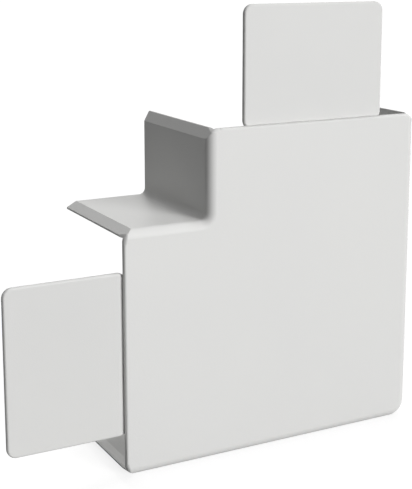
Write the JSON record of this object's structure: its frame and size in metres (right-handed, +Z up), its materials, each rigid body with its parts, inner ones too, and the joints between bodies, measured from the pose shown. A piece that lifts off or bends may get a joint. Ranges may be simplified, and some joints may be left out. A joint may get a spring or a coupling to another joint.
{
  "type": "trunking flat angle",
  "caption": "Moulded flat angle that covers a right-angled bend of wall trunking, with a sliding joint plate in the end of each leg.",
  "frame": {"origin": "on the wall plane, where the centre lines of the two trunking runs cross", "axes": "+X to the right in the picture, +Z up along the upper leg, -Y out of the wall towards the front face"},
  "size_m": [0.197, 0.064, 0.197],
  "materials": {
    "hood_plastic": "moulded light grey-white plastic, fine satin grain",
    "plate_plastic": "moulded light grey-white plastic, fine satin grain"
  },
  "bodies": {
    "hood": {"hood": "hood_plastic"},
    "left_plate": {"left_joint_plate": "plate_plastic"},
    "top_plate": {"top_joint_plate": "plate_plastic"}
  },
  "joints": [
    {"name": "left_plate_slide", "type": "slide", "parent": "hood", "child": "left_plate", "axis": [1, 0, 0], "range_m": [0, 0.042]},
    {"name": "top_plate_slide", "type": "slide", "parent": "hood", "child": "top_plate", "axis": [0, 0, -1], "range_m": [0, 0.042]}
  ]
}
